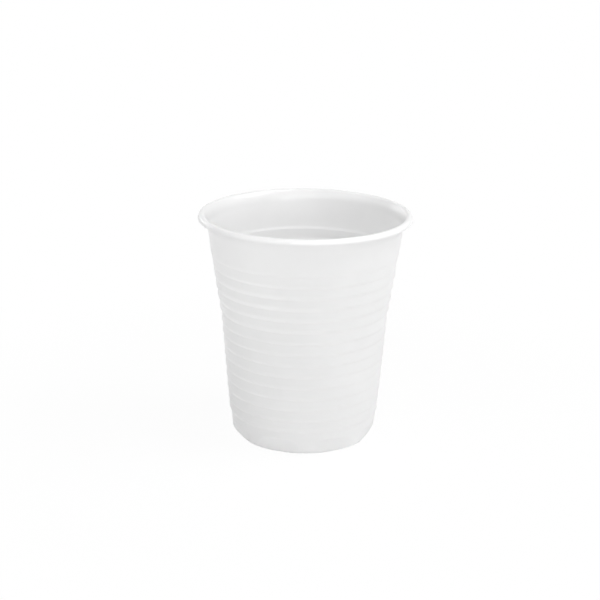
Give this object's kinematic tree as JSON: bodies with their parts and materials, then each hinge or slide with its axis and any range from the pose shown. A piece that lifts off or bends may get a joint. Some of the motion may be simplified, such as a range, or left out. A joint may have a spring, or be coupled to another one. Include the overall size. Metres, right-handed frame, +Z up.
{
  "type": "disposable cup",
  "caption": "White disposable drinking cup formed from one thin plastic sheet, with a rolled rim, a ribbed tapered wall and low arches round the foot.",
  "frame": {"origin": "centre of the foot ring's underside, on the surface that the cup stands on", "axes": "+Z up along the cup's axis, towards the open mouth; +X and +Y pass through two of the lands between the arches of the foot"},
  "size_m": [0.0702, 0.0702, 0.0758],
  "materials": {
    "cup_plastic": "soft gloss, slightly translucent white"
  },
  "bodies": {
    "root": {"cup": "cup_plastic"}
  },
  "joints": []
}
